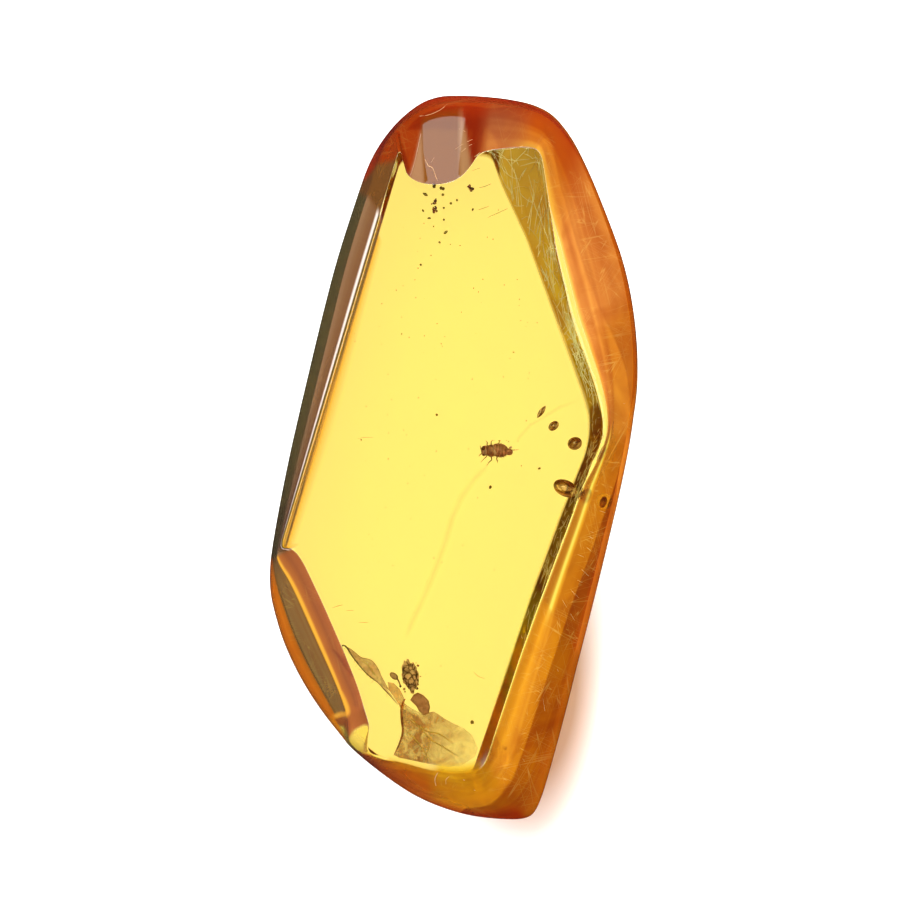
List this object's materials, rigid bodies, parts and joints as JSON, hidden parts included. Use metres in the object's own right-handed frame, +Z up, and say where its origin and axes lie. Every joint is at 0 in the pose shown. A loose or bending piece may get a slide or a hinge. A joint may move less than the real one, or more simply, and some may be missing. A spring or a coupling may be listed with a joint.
{
  "type": "insect in amber",
  "caption": "Polished elongated slab of clear golden amber with a tiny fly-like insect and plant crumbs sealed inside; lies on its flat underside.",
  "frame": {"origin": "middle of the flat underside's box, on the surface that the slab rests on", "axes": "+Y along the length towards the narrow end, +Z up through the thickness, +X towards the long shoulder"},
  "size_m": [0.0183, 0.0359, 0.008],
  "materials": {
    "amber": "hand-polished fossil resin, clear honey yellow with a redder skin on the ends and edges",
    "insect_cuticle": "dark red-brown insect cuticle, slightly glossy",
    "bark": "rough dark brown bark and plant crumbs"
  },
  "bodies": {
    "root": {"amber_upper": "amber", "amber_lower": "amber", "insect": "insect_cuticle", "bark_crumb": "bark", "bark_flake": "bark", "bark_strip": "bark", "seed_pod": "bark"}
  },
  "joints": []
}
